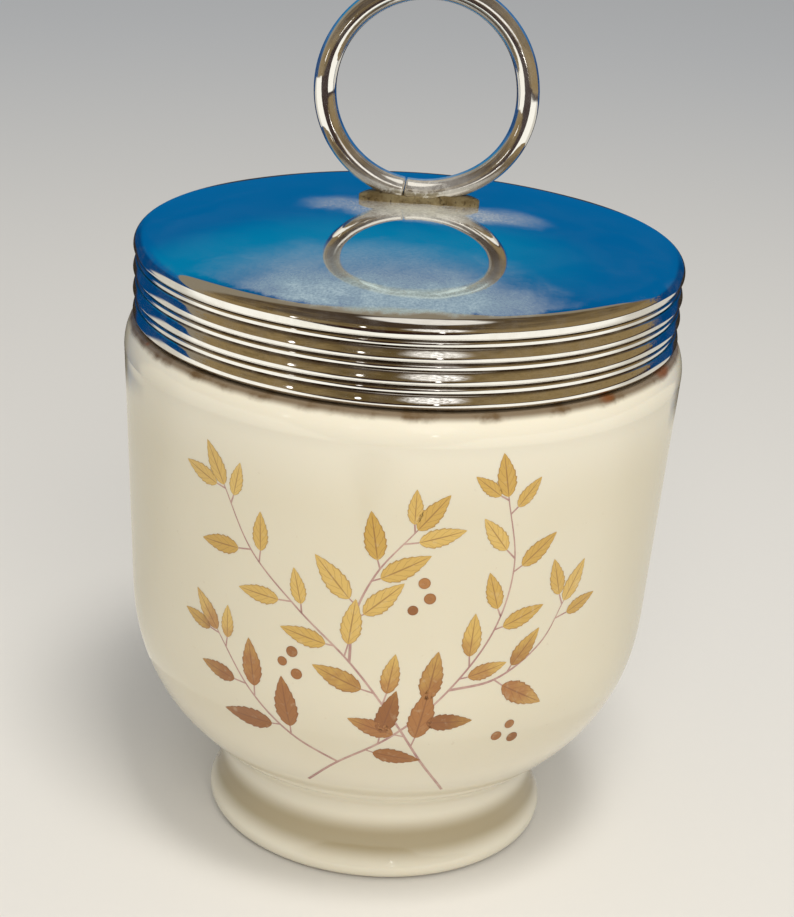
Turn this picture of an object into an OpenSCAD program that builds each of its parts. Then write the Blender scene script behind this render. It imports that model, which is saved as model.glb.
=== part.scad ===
// Footed porcelain egg coddler with a screw-on polished metal lid and a ring to lift it by.
// Sizes in millimetres. +Z is up, and the origin is the middle of the face it stands on.

/* [Cup] */
// Widest diameter of the body, just under the shoulder
body_d = 63.5; // [60:0.5:68]
// Height of that widest place
body_widest_z = 58.8; // [58:0.1:59.2]
// How far the wall leans in towards the bottom, in degrees
wall_lean = 2.55; // [1:0.05:4]
// Height at which the straight wall turns into the bowl
bowl_top_z = 30; // [26:0.5:34]
// Depth that the bowl's outer curve would have if the foot didn't stop it
bowl_depth = 25.3; // [24:0.1:26]
// Squareness of the bowl's curve: 2 is an ellipse
bowl_power = 2.38; // [2:0.02:2.8]
// Thickness of the wall
wall_t = 3.3; // [2.6:0.1:3.8]
// Height of the bottom inside the cup
floor_z = 7.6; // [7:0.1:9]
// Height of the flat ledge that the lid comes down to
ledge_z = 62; // [61.6:0.1:62]
// Radius of the shoulder below the ledge
shoulder_r = 6; // [5:0.1:7]
// Height of the rim inside the lid
rim_z = 70; // [69.6:0.1:70]
// Outside diameter of the neck, under its thread
neck_d = 56; // [55.6:0.1:56]
// Thickness of the neck
neck_t = 2.8; // [2.4:0.1:3.2]

/* [Foot] */
// Diameter of the foot's rounded rim
foot_d = 41; // [39:0.1:44]
// Diameter of the waist between the foot and the bowl
waist_d = 38.3; // [36:0.1:38.6]
// Radius of the rim's round edge
foot_edge_r = 1.35; // [1:0.05:1.6]
// Width of the ring that it stands on
foot_land = 1.2; // [0.8:0.1:1.6]
// Depth of the hollow under the foot
foot_recess = 3.6; // [2:0.1:4]

/* [Thread] */
// Rise of the lid in one turn
pitch = 3; // [2.8:0.1:3.2]
// Turns of ridge on the neck, and in the lid's collar
thread_turns = 1.6; // [1:0.1:1.6]
// Height of the neck's ridge
neck_ridge_h = 0.8; // [0.6:0.05:0.8]
// Height of the collar's ridge
collar_ridge_h = 0.75; // [0.55:0.05:0.75]
// Height at which the middle of the neck's ridge starts
thread_start_z = 64; // [63.8:0.1:64]

/* [Lid] */
// Diameter over the beads
lid_d = 61.7; // [61.6:0.1:62]
// Height of the middle of the crown
crown_z = 75.85; // [75.8:0.05:76.5]
// How far the crown falls from its middle to its edge
crown_drop = 4; // [3.8:0.05:4.05]
// Shape of the crown: 2 is a parabola, and more makes it flatter in the middle
crown_power = 2.3; // [2.1:0.1:2.6]
// Thickness of the metal
sheet_t = 0.5; // [0.4:0.05:0.55]
// Height of the lid's bottom edge
lid_bottom_z = 62.2; // [62.2:0.05:62.3]
// Height of one bead
bead_h = 2.45; // [2.4:0.05:2.5]
// Number of beads under the shoulder bead
bead_count = 3; // [3:1:3]
// Depth of the grooves between the beads
groove_depth = 0.4; // [0.1:0.02:0.4]
// How far down a bead is widest, as a part of its height
bead_widest = 0.74; // [0.6:0.02:0.84]
// Radius of the edge round the crown
lid_edge_r = 1.6; // [1.2:0.05:1.8]
// Thickness of the rubber seal
seal_t = 1.1; // [0.8:0.05:1.1]

/* [Ring] */
// Outside diameter of the lifting ring
ring_d = 24.6; // [20:0.1:28]
// Thickness of its wire
wire_d = 2.5; // [2:0.1:3]
// How far to one side of the lid's middle the ring is soldered
ring_offset = 0.7; // [-1:0.1:1]
// Where the wire's ends meet, in degrees from the lowest point
seam_angle = -9; // [-20:1:20]
// Length of the solder under the ring
solder_l = 13; // [8:0.5:14]

/* [Hidden] */
porcelain = "ivory";
steel = "silver";
rubber = "dimgray";
tin = "darkkhaki";
fine = 144;          // sides of a full circle
very_fine = 1080;    // sides of a circle that the solder has to fit
arc_steps = 10;      // points along a small round stretch
curve_steps = 18;    // points along a long one
body_r = body_d / 2;
neck_r = neck_d / 2;
bore_r = neck_r - neck_t;
lid_r = lid_d / 2;
wire_r = wire_d / 2;
ring_r = ring_d / 2 - wire_r;
ledge_edge_r = 0.6;  // small round at the ledge's outer edge
root_fillet = 0.8;   // round where the neck rises from the ledge
flare_angle = 25;    // lean of the foot's flare where it meets the rim's round edge
bowl_end = 44;       // where along its curve the bowl runs into the foot, in degrees
neck_in_z = 63.5;    // the bore starts to widen below this height
body_in_z = 56;      // and has its full width here
collar_gap = 0.2;    // between the neck's ridge and the collar
flank_gap = 0.2;     // between the two ridges
hem_inset = 1.5;     // how far the lid's bottom edge turns in
solder_gap = 0.05;   // film of solder under the ring
bead_face_power = 1.4; // a bead's face is nearly a cone
bead_turn_power = 2;   // and turns under in a round
seam_gap = 0.12;     // between the wire's ends

// Points of an arc from angle a to angle b
function arc(cx, cy, r, a, b, n = arc_steps) =
    [for (i = [0:n]) [cx + r * cos(a + (b - a) * i / n), cy + r * sin(a + (b - a) * i / n)]];

// The same points in the other order
function back(points) = [for (i = [len(points) - 1:-1:0]) points[i]];

// Outer radius of the straight wall at a height
function wall_r(z) = body_r - (body_widest_z - z) * tan(wall_lean);

// A point of a bowl's curve: u runs from 0 at the wall to 90 at the middle
function bowl_point(u, depth, inset) =
    let (z = bowl_top_z - depth * pow(sin(u), 2 / bowl_power))
    [(wall_r(z) - inset) * cos(u), z];

// The foot's waist is an arc that leaves the bowl in the bowl's own direction
join = bowl_point(bowl_end, bowl_depth, 0);
join_near = bowl_point(bowl_end - 0.5, bowl_depth, 0);
join_lean = atan((join_near.x - join.x) / (join_near.y - join.y));
waist_arc_r = (join.x - waist_d / 2) / (1 - cos(join_lean));
waist_z = join.y - waist_arc_r * sin(join_lean);
waist_x = waist_d / 2;
foot_x = foot_d / 2 - foot_edge_r;
flare_end = [foot_x + foot_edge_r * cos(flare_angle), foot_edge_r * (1 + sin(flare_angle))];

// The ledge's small round edge touches the shoulder's arc from inside
ledge_y = ledge_z - ledge_edge_r - body_widest_z;
ledge_x = body_r - shoulder_r + sqrt(pow(shoulder_r - ledge_edge_r, 2) - pow(ledge_y, 2));
shoulder_end = asin(ledge_y / (shoulder_r - ledge_edge_r));

foot_outline = concat(
    arc(foot_x, foot_edge_r, foot_edge_r, -90, flare_angle),
    [for (i = [1:arc_steps]) let (z = flare_end.y + (waist_z - flare_end.y) * i / arc_steps)
        [waist_x + (flare_end.x - waist_x) * pow((waist_z - z) / (waist_z - flare_end.y), 2), z]],
    back(arc(waist_x + waist_arc_r, waist_z, waist_arc_r, 180 - join_lean, 179)));
bowl_outline =
    [for (i = [curve_steps - 1:-1:0]) bowl_point(bowl_end * i / curve_steps, bowl_depth, 0)];
shoulder_outline = concat(
    arc(body_r - shoulder_r, body_widest_z, shoulder_r, -wall_lean, shoulder_end),
    arc(ledge_x, ledge_z - ledge_edge_r, ledge_edge_r, shoulder_end + 6, 90),
    arc(neck_r + root_fillet, ledge_z + root_fillet, root_fillet, 270, 180));
rim_outline = arc(neck_r - neck_t / 2, rim_z - neck_t / 2, neck_t / 2, 0, 180);
inner_outline = concat(
    [for (i = [0:curve_steps]) let (t = i / curve_steps, z = neck_in_z + (body_in_z - neck_in_z) * t)
        [bore_r + (wall_r(body_in_z) - wall_t - bore_r) * (1 - cos(180 * t)) / 2, z]],
    [for (i = [0:curve_steps]) bowl_point(90 * i / curve_steps, bowl_top_z - floor_z, wall_t)]);
recess_x = foot_x - foot_land;
recess_r = foot_recess / 2;
recess_outline = concat(
    [[0, foot_recess]],
    arc(recess_x - foot_recess, foot_recess - recess_r, recess_r, 90, 30),
    [[recess_x, 0]]);

// The lid's crown runs smoothly into the round of its edge
edge_x = lid_r - lid_edge_r;
crown_lean = atan(crown_power * crown_drop
    / (edge_x + lid_edge_r * sin(atan(crown_power * crown_drop / edge_x))));
crown_span = edge_x + lid_edge_r * sin(crown_lean);
edge_y = crown_z - crown_drop - lid_edge_r * cos(crown_lean);
skirt_top_z = lid_bottom_z + bead_count * bead_h;

// A point of the crown, moved in at right angles to it
function crown_point(x, inset) =
    let (lean = atan(crown_power * crown_drop / crown_span * pow(x / crown_span, crown_power - 1)))
    [x - inset * sin(lean), crown_z - crown_drop * pow(x / crown_span, crown_power) - inset * cos(lean)];

// Radius of the skirt inside one bead, from t = 0 at its top to 1 at its bottom
function bead_r(t) = lid_r - groove_depth * (t < bead_widest
    ? pow(1 - t / bead_widest, bead_face_power)
    : pow((t - bead_widest) / (1 - bead_widest), bead_turn_power));

// How far down a bead each of its points lies: half of them are on its face
bead_steps = [for (i = [0:arc_steps - 1]) let (half = arc_steps / 2)
    i < half ? bead_widest * i / half : bead_widest + (1 - bead_widest) * (i - half) / half];

// Outer outline of the lid, moved in by the metal's thickness for its inner face
function lid_outline(inset) = concat(
    [for (i = [0:curve_steps]) crown_point(crown_span * i / curve_steps, inset)],
    arc(edge_x, edge_y, lid_edge_r - inset, 82 - crown_lean, 8),
    [for (i = [0:arc_steps - 1]) let (t = i / arc_steps)
        [lid_r - groove_depth * pow(t, 2) - inset, edge_y + (skirt_top_z - edge_y) * t]],
    [for (bead = [bead_count:-1:1], t = bead_steps)
        [bead_r(t) - inset, lid_bottom_z + bead_h * (bead - t)]]);

collar_r = lid_r - groove_depth - sheet_t;
collar_in_r = neck_r + neck_ridge_h + collar_gap;
hem_z = lid_bottom_z + sheet_t;
hem_x = lid_r - hem_inset;
seal_z = rim_z + 0.02;
collar_h = rim_z - hem_z;

// Ridge sections, root width then crest width
neck_ridge = [1.4, 0.65];
collar_ridge = [1.2, 0.5];

// Half the width of a ridge at a distance from its root
function ridge_half(ridge, h, depth) = (ridge[0] + (ridge[1] - ridge[0]) * depth / h) / 2;

// The collar's ridge lies under the neck's, a small gap away where they overlap
meet_r = neck_r + neck_ridge_h * 0.7;
ridge_drop = flank_gap
    + ridge_half(neck_ridge, neck_ridge_h, meet_r - neck_r)
    + ridge_half(collar_ridge, collar_ridge_h, collar_in_r - meet_r);

ridge_steps_per_turn = 72;
ridge_run_out = 9;   // steps over which a ridge rises at each end
ridge_bite = 0.35;   // how far a ridge's root lies inside its wall

// Helical ridge, right-handed, on a wall of radius root_r; h is negative on the inside of a wall
module ridge(root_r, h, widths, start_z, start_a) {
    steps = round(thread_turns * ridge_steps_per_turn);
    root = root_r - sign(h) * ridge_bite;
    sections = [for (i = [0:steps])
        let (
            a = start_a + 360 * i / ridge_steps_per_turn,
            z = start_z + pitch * (a - start_a) / 360,
            rise = min(1, 0.1 + min(i, steps - i) / ridge_run_out),
            crest = root_r + h * rise
        )
        each [
            [root * cos(a), root * sin(a), z - widths[0] / 2],
            [crest * cos(a), crest * sin(a), z - widths[1] / 2],
            [crest * cos(a), crest * sin(a), z + widths[1] / 2],
            [root * cos(a), root * sin(a), z + widths[0] / 2]
        ]];
    sides = [for (i = [0:steps - 1], k = [0:3])
        let (p = 4 * i + k, q = 4 * i + (k + 1) % 4)
        each [[p, q, q + 4], [p, q + 4, p + 4]]];
    last = 4 * steps;
    ends = [[0, 3, 2], [0, 2, 1], [last, last + 1, last + 2], [last, last + 2, last + 3]];
    faces = concat(sides, ends);
    polyhedron(sections, h > 0 ? faces : [for (f = faces) back(f)]);
}

// The porcelain cup: one casting with its foot, neck and thread
module cup() {
    color(porcelain) {
        rotate_extrude($fn = fine)
            polygon(concat(foot_outline, bowl_outline, shoulder_outline, rim_outline,
                inner_outline, recess_outline));
        ridge(neck_r, neck_ridge_h, neck_ridge, thread_start_z, 0);
    }
}

// The threaded collar inside the lid, which stands on the lid's turned-in edge
module thread_collar() {
    color(steel) {
        translate([0, 0, hem_z])
            difference() {
                cylinder(r = collar_r, h = collar_h, $fn = fine);
                translate([0, 0, -1])
                    cylinder(r = collar_in_r, h = collar_h + 2, $fn = fine);
            }
        ridge(collar_in_r, -collar_ridge_h, collar_ridge, thread_start_z - ridge_drop + pitch / 4, 90);
    }
}

// The rubber seal between the cup's rim and the lid
module lid_seal() {
    chamfer = 0.2;
    inside = bore_r + 0.4;
    outside = collar_r - 0.45;
    color(rubber)
        translate([0, 0, seal_z])
            rotate_extrude($fn = fine)
                polygon([
                    [inside + chamfer, 0], [outside - chamfer, 0],
                    [outside, chamfer], [outside, seal_t - chamfer],
                    [outside - chamfer, seal_t], [inside + chamfer, seal_t],
                    [inside, seal_t - chamfer], [inside, chamfer]]);
}

// The lid's metal shell, with its crown, its beads and its turned-in bottom edge
module lid_cap() {
    hem = [[bead_r(1) - 0.1, lid_bottom_z], [hem_x, lid_bottom_z],
        [hem_x, hem_z], [collar_r, hem_z]];
    color(steel)
        rotate_extrude($fn = fine)
            polygon(concat(lid_outline(0), hem, back(lid_outline(sheet_t))));
}

ring_z = crown_z + solder_gap + ring_d / 2;

// A wire bent to a ring, with its two ends butted together near the lid
module lift_ring() {
    seam = 360 * seam_gap / (2 * PI * ring_r);
    color(steel)
        translate([ring_offset, 0, ring_z])
            rotate([90, 0, 0])
                rotate([0, 0, seam_angle - 90 + seam / 2])
                    rotate_extrude(angle = 360 - seam, $fn = fine)
                        translate([ring_r, 0])
                            circle(r = wire_r, $fn = 48);
}

// Solder drawn up between the ring and the crown, hollow at its ends
module ring_solder() {
    foot_half = 1.9;
    top_half = 0.9;
    sink = 1.2;
    end_r = 1.5;
    color(tin)
        difference() {
            translate([ring_offset, 0, crown_z - sink])
                rotate([90, 0, 90])
                    linear_extrude(height = solder_l, center = true)
                        polygon([[-foot_half, 0], [foot_half, 0], [foot_half, sink],
                            [top_half, sink + wire_d], [-top_half, sink + wire_d],
                            [-foot_half, sink]]);
            translate([ring_offset, 0, ring_z])
                rotate([90, 0, 0])
                    cylinder(r = ring_r, h = 2 * wire_d, center = true, $fn = very_fine);
            translate([ring_offset, 0, ring_z])
                rotate([90, 0, 0])
                    rotate_extrude($fn = very_fine)
                        translate([ring_r, 0])
                            circle(r = wire_r, $fn = fine);
            for (side = [-1, 1])
                translate([ring_offset + side * solder_l / 2, 0, crown_z + end_r * 0.75])
                    rotate([90, 0, 0])
                        cylinder(r = end_r, h = 2 * wire_d, center = true, $fn = fine);
            rotate_extrude($fn = very_fine)
                polygon(concat(
                    [[0, crown_z - 2 * sink]],
                    [[solder_l, crown_z - 2 * sink]],
                    [for (i = [arc_steps:-1:0]) crown_point(solder_l * i / arc_steps, 0)]));
        }
}

cup();
thread_collar();
lid_seal();
lid_cap();
lift_ring();
ring_solder();
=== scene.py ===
import random
from math import asin, atan, atan2, cos, degrees, hypot, pi, radians, sin, sqrt, tan

import bmesh
import bpy
import numpy as np
from mathutils import Matrix, Vector


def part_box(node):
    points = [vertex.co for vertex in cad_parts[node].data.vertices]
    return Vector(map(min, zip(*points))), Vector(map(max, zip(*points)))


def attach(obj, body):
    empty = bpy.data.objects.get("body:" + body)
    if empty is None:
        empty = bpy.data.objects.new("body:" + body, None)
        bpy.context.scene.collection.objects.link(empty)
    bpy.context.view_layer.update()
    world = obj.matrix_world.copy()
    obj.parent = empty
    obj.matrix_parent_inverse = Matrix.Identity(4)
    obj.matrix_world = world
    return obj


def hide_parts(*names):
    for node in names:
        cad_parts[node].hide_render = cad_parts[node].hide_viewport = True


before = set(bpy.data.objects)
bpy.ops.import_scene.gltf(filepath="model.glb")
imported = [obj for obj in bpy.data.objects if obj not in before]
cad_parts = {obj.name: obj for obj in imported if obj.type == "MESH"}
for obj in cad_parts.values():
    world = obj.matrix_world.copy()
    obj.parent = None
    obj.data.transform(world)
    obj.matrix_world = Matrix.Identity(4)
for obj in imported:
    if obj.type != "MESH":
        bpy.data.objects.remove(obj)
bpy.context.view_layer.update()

mm = 0.001
print("frame loaded:", ", ".join(sorted(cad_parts)))


# small helpers
def arcPoints(centre, radius, start, end, count):
    angles = np.radians(np.linspace(start, end, count))
    return [(centre[0] + radius * cos(a), centre[1] + radius * sin(a)) for a in angles]


def between(start, end, count):
    # points after start, up to and with end
    return [tuple(np.array(start) + (np.array(end) - np.array(start)) * i / count)
            for i in range(1, count + 1)]


def link(piece):
    bpy.context.scene.collection.objects.link(piece)
    return piece


def finishMesh(name, verts, faces, material):
    mesh = bpy.data.meshes.new(name)
    mesh.from_pydata([tuple(v) for v in verts], [], faces)
    work = bmesh.new()
    work.from_mesh(mesh)
    bmesh.ops.remove_doubles(work, verts=work.verts, dist=1e-9)
    bmesh.ops.recalc_face_normals(work, faces=work.faces)
    work.to_mesh(mesh)
    work.free()
    mesh.shade_smooth()
    mesh.materials.append(material)
    return link(bpy.data.objects.new(name, mesh))


def lathe(name, profile, material, segments=288, closed=False):
    # turns a profile of (radius, height) in millimetres
    verts = []
    rows = []
    for radius, height in profile:
        if radius < 1e-6:
            rows.append([len(verts)] * segments)
            verts.append((0, 0, height * mm))
            continue
        rows.append(list(range(len(verts), len(verts) + segments)))
        for k in range(segments):
            a = 2 * pi * k / segments
            verts.append((radius * cos(a) * mm, radius * sin(a) * mm, height * mm))
    faces = []
    for i in range(len(rows) - (0 if closed else 1)):
        low = rows[i]
        high = rows[(i + 1) % len(rows)]
        for k in range(segments):
            n = (k + 1) % segments
            corners = list(dict.fromkeys([low[k], low[n], high[n], high[k]]))
            if len(corners) > 2:
                faces.append(corners)
    return finishMesh(name, verts, faces, material)


def tubeFaces(rows, around):
    # quads between rows of points, each row once round a tube
    faces = []
    for low in range(0, (rows - 1) * around, around):
        for k in range(around):
            n = (k + 1) % around
            faces.append([low + k, low + n, low + around + n, low + around + k])
    return faces


class Signal:
    # a socket's value that can be used in Python expressions
    def __init__(self, sheet, socket):
        self.sheet = sheet
        self.socket = socket

    def __add__(self, other):
        return self.sheet.maths("ADD", self, other)

    __radd__ = __add__

    def __sub__(self, other):
        return self.sheet.maths("SUBTRACT", self, other)

    def __rsub__(self, other):
        return self.sheet.maths("SUBTRACT", other, self)

    def __mul__(self, other):
        return self.sheet.maths("MULTIPLY", self, other)

    def __truediv__(self, other):
        return self.sheet.maths("DIVIDE", self, other)

    def __pow__(self, other):
        return self.sheet.maths("POWER", self, other)

    def __abs__(self):
        return self.sheet.maths("ABSOLUTE", self)

    def smooth(self, low, high, bottom=0.0, top=1.0):
        links = {"Value": self, "From Min": low, "From Max": high, "To Min": bottom, "To Max": top}
        return self.sheet.node("ShaderNodeMapRange", links, interpolation_type="SMOOTHSTEP")


class Sheet:
    # a node tree of a material or a geometry modifier
    def __init__(self, tree, prefix="ShaderNode"):
        self.tree = tree
        self.prefix = prefix

    def node(self, kind, links=None, out=0, **settings):
        made = self.tree.nodes.new(kind if "Node" in kind else self.prefix + kind)
        for key, value in settings.items():
            setattr(made, key, value)
        for key, value in (links or {}).items():
            self.feed(made.inputs[key], value)
        return Signal(self, made.outputs[out])

    def feed(self, socket, value):
        if isinstance(value, Signal):
            self.tree.links.new(value.socket, socket)
        else:
            socket.default_value = value

    def maths(self, operation, *values):
        return self.node("ShaderNodeMath", dict(enumerate(values)), operation=operation)

    def vector(self, operation, *values):
        out = 1 if operation == "LENGTH" else 0
        return self.node("ShaderNodeVectorMath", dict(enumerate(values)), out, operation=operation)

    def split(self, vector):
        parts = self.node("ShaderNodeSeparateXYZ", {0: vector}).socket.node
        return [Signal(self, part) for part in parts.outputs]

    def combine(self, links):
        return self.node("ShaderNodeCombineXYZ", links)

    def reach(self, middle=(0, 0, 0), scale=(1, 1, 1)):
        # how far away a point is, in metres, with each direction scaled
        off = self.vector("SUBTRACT", self.place, middle)
        return self.vector("LENGTH", self.vector("MULTIPLY", off, scale))

    def mix(self, factor, first, second):
        colours = [c if isinstance(c, Signal) else (*c, 1) for c in (first, second)]
        return self.node("Mix", {0: factor, 6: colours[0], 7: colours[1]}, out=2, data_type="RGBA")

    def noise(self, scale, detail=3.0, rough=0.5, twist=0.0, place=None):
        links = {"Scale": scale, "Detail": detail, "Roughness": rough, "Distortion": twist}
        return self.node("TexNoise", {"Vector": place or self.place, **links})

    def stretched(self, scale, turn=(0, 0, 0)):
        return self.node("Mapping", {"Vector": self.place, "Scale": scale, "Rotation": turn})


class Finish(Sheet):
    # a material whose base is one Principled shader
    def __init__(self, name, **fixed):
        self.material = bpy.data.materials.new(name)
        self.material.use_nodes = True
        super().__init__(self.material.node_tree)
        self.shader = self.tree.nodes["Principled BSDF"]
        self.place = self.node("TexCoord", out=3)
        self.x, self.y, self.z = self.split(self.place)
        self.paint(**fixed)

    def lay(self, factor, colour):
        # lays a colour over those before it
        self.tone = self.mix(factor, self.tone, colour)

    def above(self, low, high):
        # 0 under the lower height and 1 over the upper one, in millimetres
        return self.z.smooth(low * mm, high * mm)

    def paint(self, **values):
        for key, value in values.items():
            self.feed(self.shader.inputs[key.replace("_", " ")], value)

    def bump(self, height, strength, distance):
        links = {"Height": height, "Strength": strength, "Distance": distance}
        self.feed(self.shader.inputs["Normal"], self.node("Bump", links))


# camera, floor and light
view = {
    "place": (0.0, -221.06, 131.78),  # millimetres
    "yaw": -0.0403,  # radians
    "down": 0.3962,
    "roll": 0.0493,
    "focalPixels": 2021.7,
    "frameWidth": 794,
    "frameHeight": 917,
    "shiftPixels": (80, 40),
}


def makeCamera(v):
    yaw, down, roll = v["yaw"], v["down"], v["roll"]
    forward = Vector((sin(yaw) * cos(down), cos(yaw) * cos(down), -sin(down)))
    right = Vector((cos(yaw), -sin(yaw), 0))
    up = right.cross(forward)
    turnedRight = right * cos(roll) + up * sin(roll)
    turnedUp = up * cos(roll) - right * sin(roll)
    data = bpy.data.cameras.new("photoCamera")
    data.sensor_width = 36
    longSide = max(v["frameWidth"], v["frameHeight"])
    data.lens = v["focalPixels"] / longSide * data.sensor_width
    data.shift_x = v["shiftPixels"][0] / longSide
    data.shift_y = v["shiftPixels"][1] / longSide
    data.clip_start = 0.01
    data.clip_end = 50
    camera = bpy.data.objects.new("photoCamera", data)
    turn = Matrix((turnedRight, turnedUp, -forward)).transposed().to_4x4()
    camera.matrix_world = Matrix.Translation(Vector(v["place"]) * mm) @ turn
    bpy.context.scene.camera = link(camera)


studio = {
    "floorTone": (0.775, 0.755, 0.715),
    "floorFar": (0.690, 0.700, 0.712),
    "fadeRadii": (0.12, 0.60),  # metres, over which the floor greys off
    "air": (0.43, 0.435, 0.44),  # soft light from all round
    # name: azimuth, elevation, distance, width, height, watts, colour
    "lights": {
        "overhead": (20, 70, 0.60, 0.16, 0.16, 1.75, (1.0, 0.97, 0.92)),
        "fillFront": (10, 34, 0.85, 0.60, 0.40, 2.9, (1.0, 0.965, 0.91)),
    },
}

# what the metal and the glaze mirror: a card all round, which only mirrored rays see
mirrorCard = {
    "radius": 0.27,  # metres
    "eye": (0.0, 0.0, 0.070),  # the lid, from where the card is laid out
    "frontEdge": 0.12,  # metres, where the pale floor ends
    "backEdge": 0.10,
    "nearFloor": (0.148, 0.166),  # round the foot the floor shows on every side
    "horizon": 0.040,  # how far down the floor starts
    "floor": (1.08, 1.05, 0.95),
    "floorBehind": (0.680, 0.645, 0.560),
    "blue": (0.001, 0.123, 0.335),
    "blueGlow": (0.001, 0.205, 0.410),
    "blueTop": (0.001, 0.095, 0.275),
    "blueLow": (0.001, 0.052, 0.175),  # low down at the sides
    "blueSlope": 1.5,  # rise of the blue's top edge over its distance
    "low": (0.030, 0.012, 0.008),
    "olive": (0.120, 0.080, 0.030),
    "tan": (0.280, 0.196, 0.086),
    "high": (0.055, 0.036, 0.022),
    "over": (0.265, 0.225, 0.160),
    "behindLow": (0.035, 0.026, 0.018),
    "gleam": (0.95, 0.91, 0.83),
    "gleamMiddle": (24, -80, 257),  # millimetres
    "gleamHalf": 72,
    "gleamScale": (1, 0.85, 0.85),
    "floorHeight": 0.3,
    "floorStart": 45,  # from the cup's axis
    # centre in millimetres, half width, how much flatter it is than wide, softness, brightness
    "lamps": [
        ((55, -239, 112), 44, 1.4, 0.50, 1.3),
        ((64, -256, 64), 5, 1.0, 0.5, 7.0),
        ((-65, -245, 92), 5, 0.3, 0.3, 3.0),
        ((-168, -190, 92), 5, 0.3, 0.3, 3.0),
    ],
}


def makeStudio(s):
    finish = Finish("paleFloor", Roughness=0.7, Specular_IOR_Level=0.0)
    fade = finish.reach().smooth(*s["fadeRadii"])
    grain = finish.noise(900, 4)
    tone = finish.mix(fade, s["floorTone"], s["floorFar"])
    finish.paint(Base_Color=finish.mix(grain * 0.05, tone, (0.6, 0.59, 0.56)))
    size = 4.0
    corners = [(-size, -size, 0), (size, -size, 0), (size, size, 0), (-size, size, 0)]
    floor = finishMesh("paleFloor", corners, [[0, 1, 2, 3]], finish.material)
    floor.data.shade_flat()

    for name, (azimuth, elevation, distance, width, height, watts, colour) in s["lights"].items():
        data = bpy.data.lights.new(name, "AREA")
        data.shape = "RECTANGLE"
        data.size = width
        data.size_y = height
        data.energy = watts
        data.color = colour
        lamp = link(bpy.data.objects.new(name, data))
        a, e = radians(azimuth), radians(elevation)
        away = Vector((sin(a) * cos(e), -cos(a) * cos(e), sin(e)))
        lamp.location = Vector((0, 0, 0.05)) + away * distance
        lamp.rotation_mode = "QUATERNION"
        lamp.rotation_quaternion = away.to_track_quat("Z", "Y")
        lamp.visible_glossy = False

    world = bpy.data.worlds.new("studioAir")
    world.use_nodes = True
    bpy.context.scene.world = world
    world.node_tree.nodes["Background"].inputs["Color"].default_value = (*s["air"], 1)
    bpy.context.scene.view_settings.view_transform = "Standard"


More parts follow.
